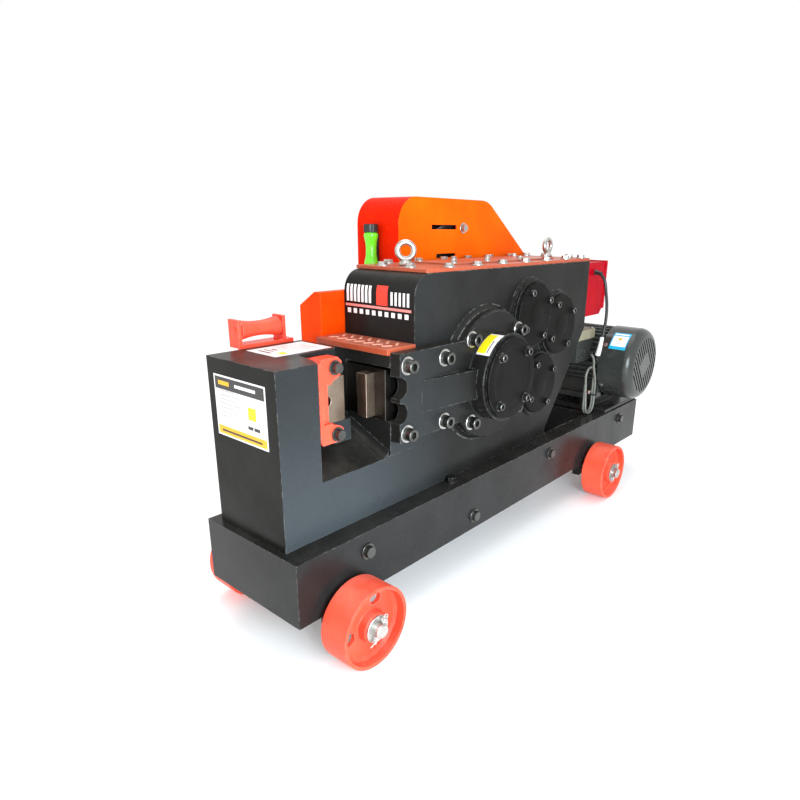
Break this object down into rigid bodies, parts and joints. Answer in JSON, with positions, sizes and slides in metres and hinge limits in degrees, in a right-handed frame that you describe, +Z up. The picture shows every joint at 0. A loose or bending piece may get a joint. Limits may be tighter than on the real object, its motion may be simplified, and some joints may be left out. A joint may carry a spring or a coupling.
{
  "type": "rebar cutter",
  "caption": "Wheeled bench machine that shears steel bars between a fixed blade and a crank-driven ram blade, geared down from a belt-driven electric motor.",
  "frame": {"origin": "centre of the machine's footprint on the ground, under the wheels", "axes": "+X along the machine from the blade end to the motor end, +Y across it towards the belt guard, +Z up"},
  "size_m": [1.3, 0.448, 0.761],
  "materials": {
    "black_paint": "satin black paint over cast and sheet metal",
    "orange_paint": "glossy orange paint",
    "cover_paint": "orange-red paint",
    "red_paint": "red-orange paint",
    "box_paint": "glossy red paint",
    "machined_steel": "turned and ground steel",
    "tool_steel": "hardened steel with a brown heat tint",
    "bronze": "turned bronze",
    "zinc": "bright zinc plate",
    "cast_iron": "machined cast iron",
    "motor_paint": "dark grey-green motor enamel",
    "beige_plastic": "beige moulded lid",
    "green_plastic": "green plastic",
    "red_plastic": "red plastic",
    "black_plastic": "black moulded plastic",
    "black_rubber": "black rubber",
    "grey_rubber": "grey cable sheath"
  },
  "bodies": {
    "root": {"base_tray": "black_paint", "front_axle": "machined_steel", "rear_axle": "machined_steel", "main_casting": "black_paint", "top_cover": "cover_paint", "ram_cover": "cover_paint", "side_plate": "black_paint", "crank_cover": "black_paint", "second_shaft_cover": "black_paint", "third_shaft_cover": "black_paint", "input_shaft_cover": "black_paint", "crank_bush_near": "bronze", "crank_bush_far": "bronze", "second_bearing_near": "machined_steel", "second_bearing_far": "machined_steel", "third_bearing_near": "machined_steel", "third_bearing_far": "machined_steel", "input_bearing_near": "machined_steel", "input_bearing_far": "machined_steel", "fixed_blade": "tool_steel", "blade_clamp": "red_paint", "roller_bracket": "red_paint", "belt_guard": "orange_paint", "rear_hood": "orange_paint", "motor_housing": "motor_paint", "fan_cowl": "motor_paint", "terminal_box": "beige_plastic", "motor_slide_base": "black_paint", "control_box": "box_paint", "eye_bolt_front": "zinc", "eye_bolt_rear": "zinc", "oil_bottle": "green_plastic", "v_belt_1": "black_rubber", "v_belt_2": "black_rubber", "motor_cable": "black_rubber", "spare_lead": "grey_rubber", "spare_lead_hank": "grey_rubber"},
    "front_near_wheel": {"front_wheel_near": "red_paint"},
    "front_far_wheel": {"front_wheel_far": "red_paint"},
    "rear_near_wheel": {"rear_wheel_near": "red_paint"},
    "rear_far_wheel": {"rear_wheel_far": "red_paint"},
    "crank": {"crankshaft": "machined_steel", "crank_gear": "cast_iron"},
    "second": {"second_shaft": "machined_steel", "second_gear": "cast_iron"},
    "third": {"third_shaft": "machined_steel", "third_gear": "cast_iron"},
    "input": {"input_shaft": "machined_steel", "flywheel_pulley": "cast_iron"},
    "rotor": {"motor_rotor": "machined_steel", "motor_fan": "black_plastic", "motor_pulley": "cast_iron"},
    "ram": {"ram": "machined_steel", "moving_blade": "tool_steel", "wrist_pin": "machined_steel"},
    "rod": {"connecting_rod": "cast_iron"},
    "roller": {"guide_roller": "red_paint"},
    "door": {"control_box_door": "box_paint"},
    "start": {"start_button": "green_plastic"},
    "stop": {"stop_button": "red_plastic"}
  },
  "joints": [
    {"name": "front_near_wheel_spin", "type": "hinge", "parent": "root", "child": "front_near_wheel", "pos_m": [-0.547, -0.181, 0.072], "axis": [0, 1, 0], "continuous": true},
    {"name": "front_far_wheel_spin", "type": "hinge", "parent": "root", "child": "front_far_wheel", "pos_m": [-0.547, 0.147, 0.072], "axis": [0, 1, 0], "continuous": true},
    {"name": "rear_near_wheel_spin", "type": "hinge", "parent": "root", "child": "rear_near_wheel", "pos_m": [0.358, -0.181, 0.072], "axis": [0, 1, 0], "continuous": true},
    {"name": "rear_far_wheel_spin", "type": "hinge", "parent": "root", "child": "rear_far_wheel", "pos_m": [0.358, 0.147, 0.072], "axis": [0, 1, 0], "continuous": true},
    {"name": "input_spin", "type": "hinge", "parent": "root", "child": "input", "pos_m": [0.05429, -0.009, 0.51671], "axis": [0, 1, 0], "continuous": true},
    {"name": "third_spin", "type": "hinge", "parent": "root", "child": "third", "pos_m": [0.17088, -0.009, 0.48254], "axis": [0, 1, 0], "continuous": true},
    {"name": "second_spin", "type": "hinge", "parent": "root", "child": "second", "pos_m": [0.09166, -0.009, 0.35281], "axis": [0, 1, 0], "continuous": true},
    {"name": "crank_spin", "type": "hinge", "parent": "root", "child": "crank", "pos_m": [-0.113, -0.009, 0.41], "axis": [0, 1, 0], "continuous": true},
    {"name": "motor_spin", "type": "hinge", "parent": "root", "child": "rotor", "pos_m": [0.54, -0.009, 0.336], "axis": [0, 1, 0], "continuous": true},
    {"name": "ram_slide", "type": "slide", "parent": "root", "child": "ram", "axis": [1, 0, 0], "range_m": [-0.034, 0.01]},
    {"name": "rod_swing", "type": "hinge", "parent": "ram", "child": "rod", "pos_m": [-0.298, -0.044, 0.414], "axis": [0, 1, 0], "range_deg": [-6, 6]},
    {"name": "roller_spin", "type": "hinge", "parent": "root", "child": "roller", "pos_m": [-0.525, 0.0973, 0.529], "axis": [1, 0, 0], "continuous": true},
    {"name": "door_hinge", "type": "hinge", "parent": "root", "child": "door", "pos_m": [0.4796, 0.0524, 0.546], "axis": [0, 0, 1], "range_deg": [0, 110]},
    {"name": "start_press", "type": "slide", "parent": "door", "child": "start", "axis": [-1, 0, 0], "range_m": [0, 0.004], "stiffness_N_per_m": 400},
    {"name": "stop_press", "type": "slide", "parent": "door", "child": "stop", "axis": [-1, 0, 0], "range_m": [0, 0.004], "stiffness_N_per_m": 400}
  ],
  "couplings": [
    {"joint": "third_spin", "follows": "input_spin", "ratio": -0.37288},
    {"joint": "second_spin", "follows": "input_spin", "ratio": 0.13317},
    {"joint": "crank_spin", "follows": "input_spin", "ratio": -0.035777},
    {"joint": "motor_spin", "follows": "input_spin", "ratio": 3.5756}
  ]
}
